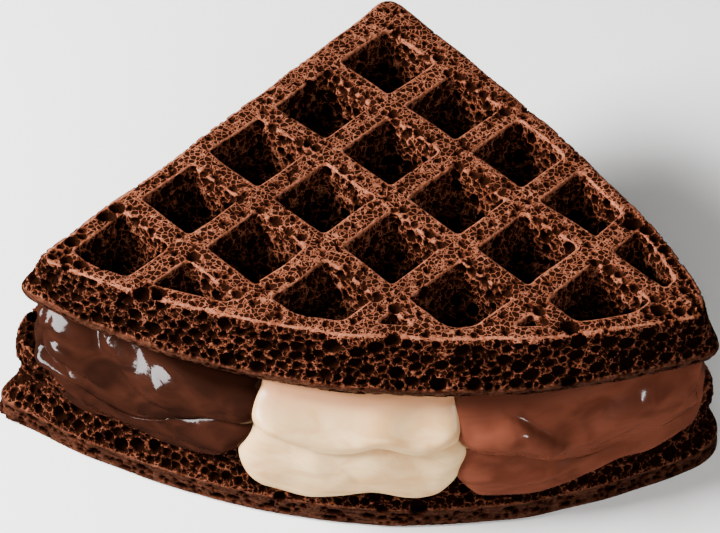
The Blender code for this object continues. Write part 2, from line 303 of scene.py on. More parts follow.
class Foam:
    """Bubbles pressed against each other under a body's surface.

    At every node it keeps the two least values of (distance to a bubble's middle - its radius).  A
    place is hollow where the least is negative and the two differ by more than the wall between
    neighbouring bubbles.
    """

    def __init__(self, field, seed):
        self.field = field
        self.nearest = np.full(field.body.shape, 9.0, np.float32)
        self.next = np.full(field.body.shape, 9.0, np.float32)
        self.draw = np.random.default_rng(seed)

    def least_at(self, cell, part):
        """The least value at a place, blended between the eight nodes round it."""
        i, j, k = cell
        block = self.nearest[i : i + 2, j : j + 2, k : k + 2]
        a, b, c = part
        block = block[0] * (1 - a) + block[1] * a
        block = block[0] * (1 - b) + block[1] * b
        return block[0] * (1 - c) + block[1] * c

    def blow(
        self,
        radii,
        tries,
        where,
        sink=(0.0, 0.45),
        overlap=0.3,
        stretch=(1, 1, 1),
        torn=0.0,
        rims=(),
        clear=0.1,
    ):
        """Tries bubbles with radii between two sizes at random places where the mask allows.

        A bubble's middle lies under the surface by a share of its radius between the two values of
        sink.  It is kept where it presses into the bubbles already there by less than overlap.  All
        but the torn share stay clear millimetres away from a second face, and leave the rims, heights
        where an edge runs, whole.  stretch lengthens a bubble along x, y and z.
        """
        field = self.field
        low, high = radii
        shell = (field.body < 0.3) & (field.body > -sink[1] * high - 0.3) & where
        nodes = np.flatnonzero(shell)
        if not len(nodes):
            return
        cells = np.stack(np.unravel_index(self.draw.choice(nodes, tries), field.body.shape), 1)
        cells = np.minimum(cells, np.array(field.body.shape) - 2)
        parts = self.draw.uniform(0, 1, (tries, 3))
        places = field.low + (cells + parts) * field.spacing
        size = low + (high - low) * self.draw.uniform(0, 1, tries) ** 1.8
        depth = -blended(field.body, field, places)
        signed = ((field.side, -1), (field.face, -1), (field.pocket, 1))
        faces = np.sort([sign * blended(face, field, places) for face, sign in signed], 0)
        whole = faces[1] > size + clear
        for rim in rims:
            whole &= np.abs(places[:, 2] - rim) > size * stretch[2] + 0.2
        whole |= self.draw.uniform(0, 1, tries) < torn
        fits = (depth > sink[0] * size) & (depth < sink[1] * size) & whole
        reach = 0.8
        for cell, part, place, r in zip(cells[fits], parts[fits], places[fits], size[fits]):
            room = r * (1 - overlap)
            if self.nearest[tuple(cell)] < room - 0.3 or self.least_at(cell, part) < room:
                continue
            box = []
            squares = []
            for axis in range(3):
                n = int((r + reach) * stretch[axis] / field.spacing[axis]) + 1
                span = slice(max(cell[axis] - n, 0), cell[axis] + n + 2)
                box.append(span)
                squares.append(((field.axes[axis][span] - place[axis]) / stretch[axis]) ** 2)
            box = tuple(box)
            dx, dy, dz = squares
            away = np.sqrt(dx[:, None, None] + dy[None, :, None] + dz[None, None, :]) - r
            least = self.nearest[box]
            self.next[box] = np.minimum(self.next[box], np.maximum(least, away))
            self.nearest[box] = np.minimum(least, away)

    def carve(self, wall, swell, uneven):
        """The body's field with the bubbles taken out, each grown by swell up to its walls.

        A fine noise of the uneven size moves the bubbles' sides, so that no hole is round.
        """
        field = self.field
        carved = field.body.copy()
        near = np.nonzero((self.nearest < 0.8) & (field.body < 0.2))
        places = [axis[i] for axis, i in zip(field.axes, near)]
        rough = uneven * (noise(places, 0.9, 21) + 0.6 * noise(places, 0.45, 22))
        between = (wall * (1 + 0.6 * noise(places, 2.2, 23)) - (self.next - self.nearest)[near]) / 2
        hollow = smooth_max(self.nearest[near] - swell + rough, between + 0.3 * rough, 0.12)
        carved[near] = smooth_max(field.body[near], -hollow, 0.08)
        return carved


# ----- Surface of a field -----

CORNERS = np.array([(i, j, k) for i in (0, 1) for j in (0, 1) for k in (0, 1)])
EDGES = [(a, b) for a in range(8) for b in range(a + 1, 8) if (CORNERS[a] != CORNERS[b]).sum() == 1]
TURN = ((-1, -1), (0, -1), (0, 0), (-1, 0))


def surface_points(values, field):
    """One point in each cell that the surface crosses, the mean of its crossings of the cell's edges.

    Returns the points and each cell's point number, or -1.
    """
    inside = values < 0
    shape = np.array(values.shape) - 1
    total = np.zeros(shape, np.int8)
    for i, j, k in CORNERS:
        total += inside[i : i + shape[0], j : j + shape[1], k : k + shape[2]]
    cells = np.stack(np.nonzero((total > 0) & (total < 8)), 1)
    ends = [values[tuple((cells + c).T)] for c in CORNERS]
    place = np.zeros((len(cells), 3))
    crossings = np.zeros(len(cells))
    for a, b in EDGES:
        crossed = (ends[a] < 0) != (ends[b] < 0)
        t = ends[a] / np.where(crossed, ends[a] - ends[b], 1)
        point = CORNERS[a] + (CORNERS[b] - CORNERS[a]) * t[:, None]
        place += np.where(crossed[:, None], point, 0)
        crossings += crossed
    number = np.full(shape, -1, np.int32)
    number[tuple(cells.T)] = np.arange(len(cells))
    return field.low + (cells + place / crossings[:, None]) * field.spacing, number


def surface_quads(values, number):
    """One quad round each grid edge that the surface crosses, facing out, and the x index of the
    node inside."""
    inside = values < 0
    quads = []
    owners = []
    for axis in range(3):
        p, q = (axis + 1) % 3, (axis + 2) % 3
        lower = inside.take(np.arange(inside.shape[axis] - 1), axis)
        upper = inside.take(np.arange(1, inside.shape[axis]), axis)
        at = np.stack(np.nonzero(lower != upper), 1)
        outward = lower[tuple(at.T)]
        turn = []
        for dp, dq in TURN:
            cell = at.copy()
            cell[:, p] += dp
            cell[:, q] += dq
            turn.append(number[tuple(cell.T)])
        quad = np.stack(turn, 1)
        quads.append(np.where(outward[:, None], quad, quad[:, ::-1]))
        owners.append(at[:, 0] + (0 if axis else ~outward))
    return np.concatenate(quads), np.concatenate(owners)


def inner_cap(plane, inside, number, first, field, forward):
    """Quads that close a piece inside the solid, between the nodes of two neighbouring planes.

    They join the surface's own points where it passes and the middles of the cells elsewhere.
    Returns the quads and the middles, which are numbered from first.
    """
    both = inside[plane] & inside[plane + 1]
    layer = number[plane].copy()
    solid = np.zeros(layer.shape, bool)
    for dj, dk in ((0, 0), (1, 0), (0, 1), (1, 1)):
        solid |= both[dj : dj + layer.shape[0], dk : dk + layer.shape[1]]
    new = solid & (layer < 0)
    cells = np.stack(np.nonzero(new), 1)
    layer[new] = first + np.arange(len(cells))
    middles = np.concatenate([np.full((len(cells), 1), plane), cells], 1) + 0.5
    at = np.stack(np.nonzero(both), 1)
    cap = np.stack([layer[at[:, 0] + dp, at[:, 1] + dq] for dp, dq in TURN], 1)
    return (cap if forward else cap[:, ::-1]), field.low + middles * field.spacing


def corner_normals(points, quads):
    """Each point's normal: the sum of the normals of the quads round it, each as long as its area."""
    a, b, c, d = (points[quads[:, i]] for i in range(4))
    area = np.cross(c - a, d - b)
    total = np.zeros((len(points), 3))
    for i in range(4):
        for axis in range(3):
            total[:, axis] += np.bincount(quads[:, i], area[:, axis], len(points))
    return total / np.maximum(np.linalg.norm(total, axis=1, keepdims=True), 1e-12)


def make_piece(name, vertices, faces, material, node, attributes=(), normals=None):
    """A piece of the object from points in millimetres and groups of faces, placed in the frame."""
    mesh = bpy.data.meshes.new(name)
    placed = (vertices + (*GRID_ORIGIN, 0)) * MM
    mesh.vertices.add(len(placed))
    mesh.vertices.foreach_set("co", np.ascontiguousarray(placed, np.float32).ravel())
    sides = np.concatenate([np.full(len(group), group.shape[1]) for group in faces])
    mesh.loops.add(int(sides.sum()))
    around = np.concatenate([group.ravel() for group in faces])
    mesh.loops.foreach_set("vertex_index", around.astype(np.int32))
    mesh.polygons.add(len(sides))
    mesh.polygons.foreach_set("loop_start", (np.cumsum(sides) - sides).astype(np.int32))
    mesh.update(calc_edges=True)
    mesh.shade_smooth()
    for key, values in attributes:
        layer = mesh.attributes.new(key, "FLOAT", "POINT")
        layer.data.foreach_set("value", np.ascontiguousarray(values, np.float32))
    if normals is not None:
        mesh.normals_split_custom_set_from_vertices(normals)
    mesh.materials.append(material)
    made = bpy.data.objects.new(name, mesh)
    bpy.context.scene.collection.objects.link(made)
    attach(made, "root")
    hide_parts(node)


def blended(values, field, points):
    """A field's value at points, blended between the eight nodes round each."""
    q = (points - field.low) / field.spacing
    whole = np.clip(np.floor(q).astype(int), 0, np.array(values.shape) - 2)
    part = q - whole
    total = np.zeros(len(points))
    for c in CORNERS:
        total += np.prod(np.where(c, part, 1 - part), axis=1) * values[tuple((whole + c).T)]
    return total


def spread(start, allowed):
    """Grows the marked nodes to their neighbours among the allowed ones until nothing changes."""
    reached = start & allowed
    while True:
        before = np.count_nonzero(reached)
        for axis in range(3):
            for ahead, behind in ((slice(1, None), slice(None, -1)), (slice(None, -1), slice(1, None))):
                to = tuple(ahead if a == axis else slice(None) for a in range(3))
                by = tuple(behind if a == axis else slice(None) for a in range(3))
                reached[to] |= reached[by] & allowed[to]
        if np.count_nonzero(reached) == before:
            return reached


def without_scraps(values, body):
    """The field without loose scraps of crumb and without bubbles that nothing opens."""
    solid = values < 0
    kept = spread(body < -1.5, solid)
    opened = spread(body > 0.3, ~solid)
    values = np.where(solid & ~kept, 0.05, values)
    return np.where(~solid & ~opened, -0.05, values)


def make_crumb(name, field, values, material, node, surface, rind):
    """The crumb's surface as closed pieces of about equal size, split across x, with its rind below
    one height.

    Neighbours share the points along their seam, so that none shows.
    """
    values = without_scraps(values, field.body)
    points, number = surface_points(values, field)
    quads, owners = surface_quads(values, number)
    normals = corner_normals(points, quads)
    inside = values < 0
    count = math.ceil(2 * len(quads) / PIECE_TRIANGLES)
    ordered = np.sort(owners)
    ends = [0, *(ordered[len(ordered) * i // count] for i in range(1, count)), len(field.axes[0])]
    for i, (start, end) in enumerate(zip(ends, ends[1:])):
        faces = [quads[(owners >= start) & (owners < end)]]
        vertices = [points]
        facing = [normals]
        total = len(points)
        for plane, forward in ((start - 1, False), (end - 1, True)):
            if 0 <= plane < len(inside) - 1:
                cap, middles = inner_cap(plane, inside, number, total, field, forward)
                faces.append(cap)
                vertices.append(middles)
                facing.append(np.tile((1.0 if forward else -1.0, 0.0, 0.0), (len(middles), 1)))
                total += len(middles)
        used, kept = np.unique(np.concatenate(faces), return_inverse=True)
        mine = np.concatenate(vertices)[used]
        z = mine[:, 2]
        inward = -blended(field.side, field, mine)
        # pit, sunk, wall and the rind's mask set where the crumb's material paints shade: in the pits, down
        # the pockets, on the side wall and on the rind.
        pit = -blended(field.body, field, mine)
        sunk = np.abs(surface - z) * smooth_step((inward - 1.2) / 1.5)
        rind_shade = smooth_step((rind - z) / 0.5 + 0.5) * smooth_step((1.6 - inward) / 0.6)
        across = np.minimum(blended(field.pocket, field, mine), inward)
        brim = np.maximum(-blended(field.face, field, mine), across)
        ridge = np.maximum(np.abs(rind - 0.4 - z), inward)
        rim = smooth_step(1.6 - np.minimum(brim, ridge) / RIM_REACH)
        wall = smooth_step((np.abs(surface - z) - 0.8) / 1.2) * smooth_step((3.0 - inward) / 1.2)
        attributes = zip(CRUMB_ATTRIBUTES, (pit, sunk, rind_shade, rim, wall))
        facing = np.concatenate(facing)[used]
        faces = kept.reshape(-1, 4)
        make_piece(f"{name}_{i + 1}", mine, (faces,), material, node, attributes, facing)


def top_waffle(material):
    """The upper quarter: fine pores along the ribs, wider ones down the pockets and the side wall,
    and a flaky rind below."""
    field = waffle_field(
        (TOP_RIM, TOP_FLANGE), TOP_WALL, TOP_SPACING, TOP_UNDERSIDE, HEIGHT, HEIGHT, POCKET_DEPTH, SAG
    )
    z = field.axes[2][None, None, :]
    above = z > TOP_UNDERSIDE + 0.7
    ribs = (field.face > -1.0) & (z > HEIGHT - 3) & (field.pocket > 0.3)
    pockets = (field.pocket < 1.4) & ~ribs
    edge = field.side > -3.2
    wall = edge & (z > TOP_FOOT) & (z < HEIGHT - 0.8)
    rind = edge & (z <= TOP_FOOT)
    rims = (TOP_RIDGE,)
    x, y = field.axes[0][:, None, None], field.axes[1][None, :, None]
    across = np.mod((-x - y) / math.sqrt(2), PITCH) - PITCH / 2
    backs = (across < 0.8 - POCKET_WIDTH / 2) & (field.pocket < 1.2)
    backs = backs & (z > HEIGHT - 2.5) & (field.side < -3.5)
    foam = Foam(field, seed=1)
    foam.blow((0.7, 1.1), 500, backs, sink=(-0.1, 0.4), overlap=0.2, stretch=(1.0, 1.0, 0.8), torn=1.0)
    foam.blow((0.8, 1.5), 9000, wall, stretch=(1.15, 1.0, 0.85), torn=0.01, rims=rims, clear=0.25)
    foam.blow((0.7, 1.3), 3000, pockets & above, clear=0.3)
    foam.blow((0.42, 0.75), 90000, wall, sink=(0.0, 0.5), overlap=0.38, torn=0.01, rims=rims, clear=0.35)
    foam.blow((0.4, 0.65), 30000, pockets & above, sink=(0.0, 0.5), clear=0.35)
    foam.blow((0.4, 0.55), 2500, ribs, sink=(0.0, 0.3), overlap=0.1, clear=0.25)
    foam.blow((0.3, 0.42), 60000, wall, sink=(-0.1, 0.4), overlap=0.4, rims=rims, clear=0.4)
    foam.blow((0.3, 0.42), 5000, rind, sink=(-0.1, 0.4), overlap=0.2, stretch=(2.0, 1.0, 0.8), rims=rims)
    carved = foam.carve(0.34, 0.1, 0.12)
    make_crumb("crumb_top", field, carved, material, "waffle_top", HEIGHT, TOP_RIND)


def bottom_waffle(material):
    """The lower quarter: its wide side wall shows below the fillings, and its own grid is below."""
    plans = (BOTTOM_FLANGE, BOTTOM_SLAB)
    depth = UNDERSIDE_POCKET_DEPTH
    field = waffle_field(plans, BOTTOM_WALL, BOTTOM_SPACING, 0.0, BOTTOM_TOP, 0.0, depth, (0.0, 0.0))
    z = field.axes[2][None, None, :]
    edge = field.side > -5.0
    slope = edge & (z > BOTTOM_FOOT) & (z < BOTTOM_TOP - 0.2)
    skirt = edge & (z <= BOTTOM_FOOT) & (z > 0.8)
    below = (z <= 3.0) & (field.side < -2.0)
    rims = (BOTTOM_RIDGE,)
    foam = Foam(field, seed=2)
    foam.blow((0.9, 1.6), 12000, slope, torn=0.02, rims=rims)
    foam.blow((0.5, 0.9), 100000, slope, sink=(0.0, 0.5), overlap=0.35, torn=0.01, rims=rims, clear=0.2)
    flat = (1.6, 1.0, 0.7)
    foam.blow((0.5, 0.8), 500, skirt, sink=(0.0, 0.4), overlap=0.1, stretch=flat, rims=rims, clear=0.2)
    foam.blow((0.38, 0.5), 60000, slope, sink=(-0.1, 0.4), overlap=0.4, rims=rims, clear=0.2)
    foam.blow((0.36, 0.46), 3000, skirt, sink=(-0.1, 0.4), overlap=0.1, rims=rims, clear=0.2)
    foam.blow((0.6, 1.1), 6000, below, sink=(0.1, 0.7), overlap=0.1, clear=0.2)
    carved = foam.carve(0.34, 0.1, 0.13)
    make_crumb("crumb_bottom", field, carved, material, "waffle_bottom", 0.0, BOTTOM_RIND)


# ----- Fillings -----

# Each filling is one thick ribbon folded on itself: an upper and a lower lobe with a crease between
# them, and the lower one hangs over the lower waffle's edge.  crease and hem (its lowest edge) are
# heights at places along x.  A fold is a line on the front where the ribbon lies over itself: going
# along its route of (x, height) places, the left side stands proud by lift and rounds down to the line
# over turn.  A strand is a rope along a route, with its half-width and its rise.
Fold = namedtuple("Fold", "route lift turn")
Strand = namedtuple("Strand", "route width rise")
Filling = namedtuple("Filling", "slot left right crease hem folds strands ripple recess tilt")

DARK_DIVIDER = ((-4.0, 0.0), (-24.0, -84.0))
MILK_DIVIDER = ((2.4, 0.0), (11.4, -84.0))

FILLINGS = (
    Filling(
        slot="dark",
        left=None,
        right=DARK_DIVIDER,
        crease=((-62, 21.2), (-56, 19.0), (-50, 16.9), (-45, 16.4), (-39, 18.8), (-31, 22.3), (-26, 23.2)),
        hem=(
            *((-62, 16.0), (-58, 12.6), (-54, 11.8), (-49, 13.3), (-44, 13.1)),
            *((-40, 12.3), (-34, 12.5), (-29, 14.0), (-25, 15.8)),
        ),
        folds=(
            Fold(
                (
                    *((-51.8, 28), (-50.2, 25.2), (-47.6, 23.9), (-45.2, 22.5)),
                    *((-42.5, 21.9), (-39, 22.4), (-35.5, 23.2)),
                ),
                lift=1.1,
                turn=2.4,
            ),
            Fold(((-63.0, 24.8), (-57.2, 24.4), (-54.8, 24.0), (-50.5, 24.2)), 0.9, 1.8),
            Fold(((-52.0, 14.6), (-46.0, 14.4), (-39.5, 15.2), (-31.5, 16.4), (-26.0, 17.4)), 0.45, 2.2),
        ),
        strands=(
            Strand(((-62.8, 27.0), (-59.0, 27.2), (-55.0, 26.6), (-51.0, 25.4)), 1.3, 0.5),
            Strand(((-62.5, 22.8), (-58.0, 22.4), (-53.5, 21.4), (-47.0, 19.6)), 1.6, 1.3),
            Strand(((-61.0, 17.8), (-57.8, 16.6), (-54.5, 15.7), (-48.0, 14.8)), 1.4, 0.9),
        ),
        ripple=0.3,
        recess=3.6,
        tilt=((-62, 5.6), (-46, 5.6), (-37, 2.6), (-25, 2.4)),
    ),
    Filling(
        slot="cream",
        left=DARK_DIVIDER,
        right=MILK_DIVIDER,
        crease=((-25, 24.6), (-19, 23.6), (-11, 21.5), (-7, 21.9), (-2.5, 23.7), (4.5, 21.8), (11, 23.6)),
        hem=((-25, 11.9), (-20, 10.2), (-15, 9.3), (-8, 10.4), (-3, 11.8), (5, 10.2), (12, 11.8)),
        folds=(Fold(((-5.0, 14.5), (-7.5, 17.4), (-11.5, 19.8), (-16.0, 21.4)), 0.4, 3.0),),
        strands=(Strand(((-17.0, 20.0), (-13.0, 18.4), (-9.0, 15.5)), 2.6, 0.5),),
        ripple=0.24,
        recess=2.2,
        tilt=((-25, 4.6), (12, 4.6)),
    ),
    Filling(
        slot="milk",
        left=MILK_DIVIDER,
        right=None,
        crease=(
            *((11, 22), (16, 21.2), (22, 20.3), (27, 17.4), (31, 15)),
            *((36, 14.6), (41, 16.4), (47, 15.8), (54, 18)),
        ),
        hem=((11, 12), (14, 10.4), (19, 8.9), (25, 8), (30, 8.8), (35, 10.4), (39, 12), (45, 10.8), (52, 13)),
        folds=(
            Fold(
                ((32.8, 18.2), (31, 19.2), (27.7, 21.9), (24.6, 24.3), (21.9, 26.2), (17.5, 28.6)),
                lift=0.75,
                turn=3.6,
            ),
            Fold(((18.3, 28.9), (22.5, 26.7), (25.2, 24.8), (28.3, 22.4), (31.6, 19.7)), 0.4, 1.4),
            Fold(((30, 18.8), (34.6, 19.2), (37.4, 19.8), (40.3, 21), (43.6, 21.8), (48, 23.6)), 1.1, 1.6),
        ),
        strands=(
            Strand(((13.0, 24.8), (21.0, 24.3), (23.8, 23.1), (27.4, 20.6), (31.0, 18.6)), 1.8, 1.1),
            Strand(((32.0, 17.6), (37.0, 19.0), (42.0, 20.4), (47.0, 22.0), (51.0, 24.0)), 1.4, 0.8),
            Strand(
                ((14, 16.4), (18.7, 15.1), (22.6, 13.9), (27, 13.3), (30.5, 13.5), (34.2, 14), (38.5, 15.6)),
                width=1.4,
                rise=0.7,
            ),
        ),
        ripple=0.24,
        recess=2.0,
        tilt=((11, 3.6), (54, 3.6)),
    ),
)

FILLING_TOP = TOP_UNDERSIDE - 0.35
FILLING_BOTTOM = BOTTOM_TOP + 0.3
HUB = (0.4, 18.5)
SIDE_CREASE = 24.3
LOBE_RECESS = 2.2
UPPER_BULGE = 2.7
LOWER_BULGE = 3.4
UPPER_SAG = 0.55
LOWER_SAG = 0.42
END_ROUND = 4.2
FOLD_WIDTH = 1.3
FINE_POINTS = 1600
LOOP_POINTS = 440
CAP_ROWS = 6
LOBE_STEPS = 54
LOOP_ROUND = 1.6


def divider_distance(divider, x, y):
    """Distance to the right of a divider, a line from a place at the point to one at the front."""
    (ax, ay), (bx, by) = divider
    length = math.hypot(bx - ax, by - ay)
    return ((x - ax) * (ay - by) + (y - ay) * (bx - ax)) / length


def filling_share(filling, points):
    """Each point's least distance from the filling's dividers, positive on the filling's side."""
    x, y = points[:, 0], points[:, 1]
    share = np.full(len(points), 99.0)
    if filling.left:
        share = np.minimum(share, divider_distance(filling.left, x, y))
    if filling.right:
        share = np.minimum(share, -divider_distance(filling.right, x, y))
    return share


def even_loop(ring, count, density=lambda places: np.ones(len(places))):
    """A closed ring resampled so that its points are closer where the density is higher."""
    closed = np.concatenate([ring, ring[:1]])
    step = np.linalg.norm(np.diff(closed, axis=0), axis=1)
    weight = density(closed)
    travel = np.concatenate([[0], np.cumsum(step * (weight[1:] + weight[:-1]) / 2)])
    at = np.linspace(0, travel[-1], count, endpoint=False)
    return np.stack([np.interp(at, travel, closed[:, axis]) for axis in (0, 1)], 1)


def filling_loop(filling):
    """The filling's closed plan: its share of the plan of all three, with rounded corners.

    A ray from the middle of the share meets its edge where the plan or a divider cuts it first, and
    a mean over neighbouring points, weighted by a bell curve, rounds the corners.
    """
    whole = even_loop(outline(FILLING), FINE_POINTS)
    inside = whole[filling_share(filling, whole) > 0]
    middle = inside.mean(0) * (1, 0.8)
    out = even_loop(whole, FINE_POINTS) - middle
    reach = np.ones(len(out))
    for divider, side in ((filling.left, 1), (filling.right, -1)):
        if divider:
            here = side * divider_distance(divider, middle[0], middle[1])
            there = side * divider_distance(divider, middle[0] + out[:, 0], middle[1] + out[:, 1])
            reach = np.minimum(reach, np.where(there < 0, here / (here - there), 1))
    loop = even_loop(middle + out * reach[:, None], FINE_POINTS)
    gap = np.linalg.norm(loop[1] - loop[0])
    n = int(3 * LOOP_ROUND / gap)
    bell = np.exp(-0.5 * (np.arange(-n, n + 1) * gap / LOOP_ROUND) ** 2)
    bell /= bell.sum()
    padded = np.concatenate([loop[-n:], loop, loop[:n]])
    loop = np.stack([np.convolve(padded[:, axis], bell, "valid") for axis in (0, 1)], 1)
    # The points are four times as close at the front, where the folds are.
    loop = even_loop(loop, LOOP_POINTS, lambda places: 1 + 3 * smooth_step((-48 - places[:, 1]) / 12))
    return loop, middle


def along_route(route, x, height):
    """Distance to the left of a smooth curve through a route's places, how far along it each point
    lies, and its length.

    The curve is cut into short straight lines, and each point takes the nearest one.
    """
    places = np.array(route)
    at = np.linspace(0, len(places) - 1, 8 * len(places))
    line = np.stack([smooth_line(at, list(enumerate(places[:, axis]))) for axis in (0, 1)], 1)
    step = np.linalg.norm(np.diff(line, axis=0), axis=1)
    start = np.cumsum(step) - step
    nearest = np.full(x.shape, np.inf)
    left = np.zeros(x.shape)
    along = np.zeros(x.shape)
    for (ax, az), (bx, bz), length, before in zip(line, line[1:], step, start):
        ex, ez = (bx - ax) / length, (bz - az) / length
        t = np.clip((x - ax) * ex + (height - az) * ez, 0, length)
        away = np.hypot(x - ax - ex * t, height - az - ez * t)
        side = (height - az) * ex - (x - ax) * ez
        closer = away < nearest
        nearest = np.where(closer, away, nearest)
        left = np.where(closer, np.where(side < 0, -away, away), left)
        along = np.where(closer, before + t, along)
    return left, along, step.sum()


def fold_rise(fold, x, height):
    """How far a fold moves the surface: a round step up across its line to the left, which fades
    beyond turn, and a groove on the right."""
    left, along, length = along_route(fold.route, x, height)
    fade = np.exp(-np.maximum(left - fold.turn, 0) / (1.6 * fold.turn))
    step = smooth_step(left / FOLD_WIDTH + 0.5) * fade
    groove = 0.18 * np.exp(-(((left + 0.6 * FOLD_WIDTH) / (0.6 * FOLD_WIDTH)) ** 2))
    return fold.lift * (step - groove) * smooth_step(along / 4.0) * smooth_step((length - along) / 5.0)


def strand_rise(strand, x, height):
    """A rope's rise over the surface, a bell curve across it that tapers off at both ends."""
    left, along, length = along_route(strand.route, x, height)
    taper = smooth_step(along / 4.0) * smooth_step((length - along) / 5.0)
    return strand.rise * taper * np.exp(-((left / strand.width) ** 2) * 1.5)


def lobe_height(angle, sag):
    """The height round a lobe's half ellipse, from 1 at its top to -1, lowered where it stands out
    most, because the soft ribbon sags."""
    return math.sin(angle) - sag * math.cos(angle) ** 2


def lean(x, y, height):
    """How far the fillings' ends move along x: the dark one's lower lobe starts further in than its
    upper one, the cream's runs a little under it, and the cream's crease bulges into the milk one."""
    front = smooth_step((-60 - y) / 15)
    end = 1.8 * smooth_step((20 - height) / 4) * np.exp(-(((x + 64) / 7) ** 2))
    dark = -2.4 * smooth_step((22 - height) / 5) * np.exp(-(((x + 24.5) / 6) ** 2))
    milk = 1.3 * np.exp(-(((height - 20.5) / 2.6) ** 2)) * np.exp(-(((x - 11.4) / 5) ** 2))
    return (dark + milk) * front + end


def make_filling(filling, material):
    """A filling's closed surface: a profile carried round its plan.

    The profile runs from the middle of the top out to the edge, round the upper lobe's half ellipse
    to the crease, round the lower lobe's to the hem, under it to the lower waffle's side, and back to
    the middle of the bottom.
    """
    loop, middle = filling_loop(filling)
    ahead = np.roll(loop, -1, axis=0) - np.roll(loop, 1, axis=0)
    out = np.stack([ahead[:, 1], -ahead[:, 0]], 1) / np.linalg.norm(ahead, axis=1)[:, None]
    x = loop[:, 0]
    share = np.clip(filling_share(filling, loop) / END_ROUND, 0, 1)
    outer = np.sqrt(1 - (1 - share) ** 2) * smooth_step((-10 - loop[:, 1]) / 12)
    front = smooth_step((-out[:, 1] - 0.25) / 0.4)
    beyond = ring_distance(outline(BOTTOM_SLAB), loop[:, 0], loop[:, 1])
    shown = front * smooth_step((beyond + 3.5) / 2.0)
    hang = shown * outer
    crease = SIDE_CREASE + (smooth_line(x, filling.crease) - SIDE_CREASE) * shown
    hem = FILLING_BOTTOM + (smooth_line(x, filling.hem) - FILLING_BOTTOM) * hang
    crease = np.maximum(crease, hem + 2.0)
    # Near the front the lobes lie further back than the plan, by way of the place that both dividers
    # point at, and the upper one's top furthest.
    whole_plan = even_loop(outline(FILLING), 600)
    edge = whole_plan[whole_plan[:, 1] < -58]
    behind = np.linalg.norm(loop[:, None, :] - edge[None, :, :], axis=2).min(1)
    near = 1 - smooth_step(behind / 16)
    inward = HUB - loop
    inward /= np.linalg.norm(inward, axis=1)[:, None]
    tilt = smooth_line(x, filling.tilt) * near
    recess = filling.recess * near
    rest = -LOBE_RECESS * (1 - near) * outer

    # Rows of (way out, way back, height, share of the way from the middle).
    level_row = np.ones(len(x))
    rows = [(rest, recess + tilt, FILLING_TOP * level_row, k) for k in np.linspace(0.1, 1, CAP_ROWS + 1)[:-1]]
    angles = np.linspace(math.pi / 2, -math.pi / 2, LOBE_STEPS)
    for a in angles:
        level = (1 + lobe_height(a, UPPER_SAG)) / 2
        behind = recess + tilt * smooth_step((level - 0.22) / 0.53)
        rise = crease + (FILLING_TOP - crease) * level
        rows.append((rest + UPPER_BULGE * math.cos(a) * outer, behind, rise, 1))
    for a in angles[1:]:
        level = (1 + lobe_height(a, LOWER_SAG)) / 2
        rows.append((rest + LOWER_BULGE * math.cos(a) * outer, recess, hem + (crease - hem) * level, 1))
    under = np.minimum(-LOBE_RECESS * outer - 0.2, -np.maximum(beyond, 0) - 0.9)
    rows += [(under, 0 * recess, hem + (FILLING_BOTTOM - hem) * t, 1) for t in np.linspace(0, 1, 5)[1:]]
    rows += [(under, 0 * recess, FILLING_BOTTOM * level_row, k) for k in np.linspace(1, 0.1, CAP_ROWS)[1:]]
    reach, back, height = (np.stack([row[i] for row in rows], 1) for i in range(3))
    # Below the lower waffle's top the ribbon lies on its side wall.
    lobes = slice(CAP_ROWS, CAP_ROWS + 2 * LOBE_STEPS - 1)
    on_wall = smooth_step((BOTTOM_TOP + 2.5 - height[:, lobes]) / 2.0) * hang[:, None]
    clear = (0.6 - beyond)[:, None] + back[:, lobes]
    reach[:, lobes] += (smooth_max(reach[:, lobes], clear, 1.2) - reach[:, lobes]) * on_wall
    scale = np.array([row[3] for row in rows])[None, :, None]
    edge = loop[:, None, :] + out[:, None, :] * reach[:, :, None] + inward[:, None, :] * back[:, :, None]
    plan = middle + (edge - middle) * scale
    plan[:, :, 0] += lean(plan[:, :, 0], plan[:, :, 1], height)
    points = np.concatenate([plan, height[:, :, None]], 2)

    # The lobes' surface is moved along its own normal by the folds and a slow ripple.
    turn = np.roll(points, -1, axis=0) - np.roll(points, 1, axis=0)
    down = np.gradient(points, axis=1)
    normal = np.cross(turn, -down)
    normal /= np.maximum(np.linalg.norm(normal, axis=2, keepdims=True), 1e-9)
    px, pz = points[:, :, 0], points[:, :, 2]
    move = filling.ripple * noise((px, points[:, :, 1], pz * 1.6), 6.5, 31)
    share = np.zeros((2, points.shape[1]))
    share[0, CAP_ROWS : CAP_ROWS + LOBE_STEPS] = 1
    share[1, CAP_ROWS - 1 + LOBE_STEPS : CAP_ROWS - 1 + 2 * LOBE_STEPS] = 1
    share = np.stack([np.convolve(row, np.ones(5) / 5, "same") for row in share])
    move *= np.minimum(share.sum(0), 1)
    for kind, places in ((fold_rise, filling.folds), (strand_rise, filling.strands)):
        for place in places:
            turn = place.route[len(place.route) // 2]
            lobe = 0 if turn[1] > smooth_line(turn[:1], filling.crease)[0] else 1
            move += kind(place, px, pz) * front[:, None] * share[lobe]
    points = points + normal * (move * outer[:, None])[:, :, None]

    rings, steps = points.shape[:2]
    number = np.arange(rings * steps).reshape(rings, steps)
    onward = np.roll(number, -1, axis=0)
    quads = np.stack([number[:, 1:], onward[:, 1:], onward[:, :-1], number[:, :-1]], 2).reshape(-1, 4)
    poles = np.array([(*middle, FILLING_TOP), (*middle, FILLING_BOTTOM)])
    first, last = rings * steps, rings * steps + 1
    top = np.stack([number[:, 0], onward[:, 0], np.full(rings, first)], 1)
    base = np.stack([onward[:, -1], number[:, -1], np.full(rings, last)], 1)
    vertices = np.concatenate([points.reshape(-1, 3), poles])
    name = f"{filling.slot}_chocolate"
    make_piece(name, vertices, (quads, top, base), material, f"filling_{filling.slot}")


# ----- Materials -----


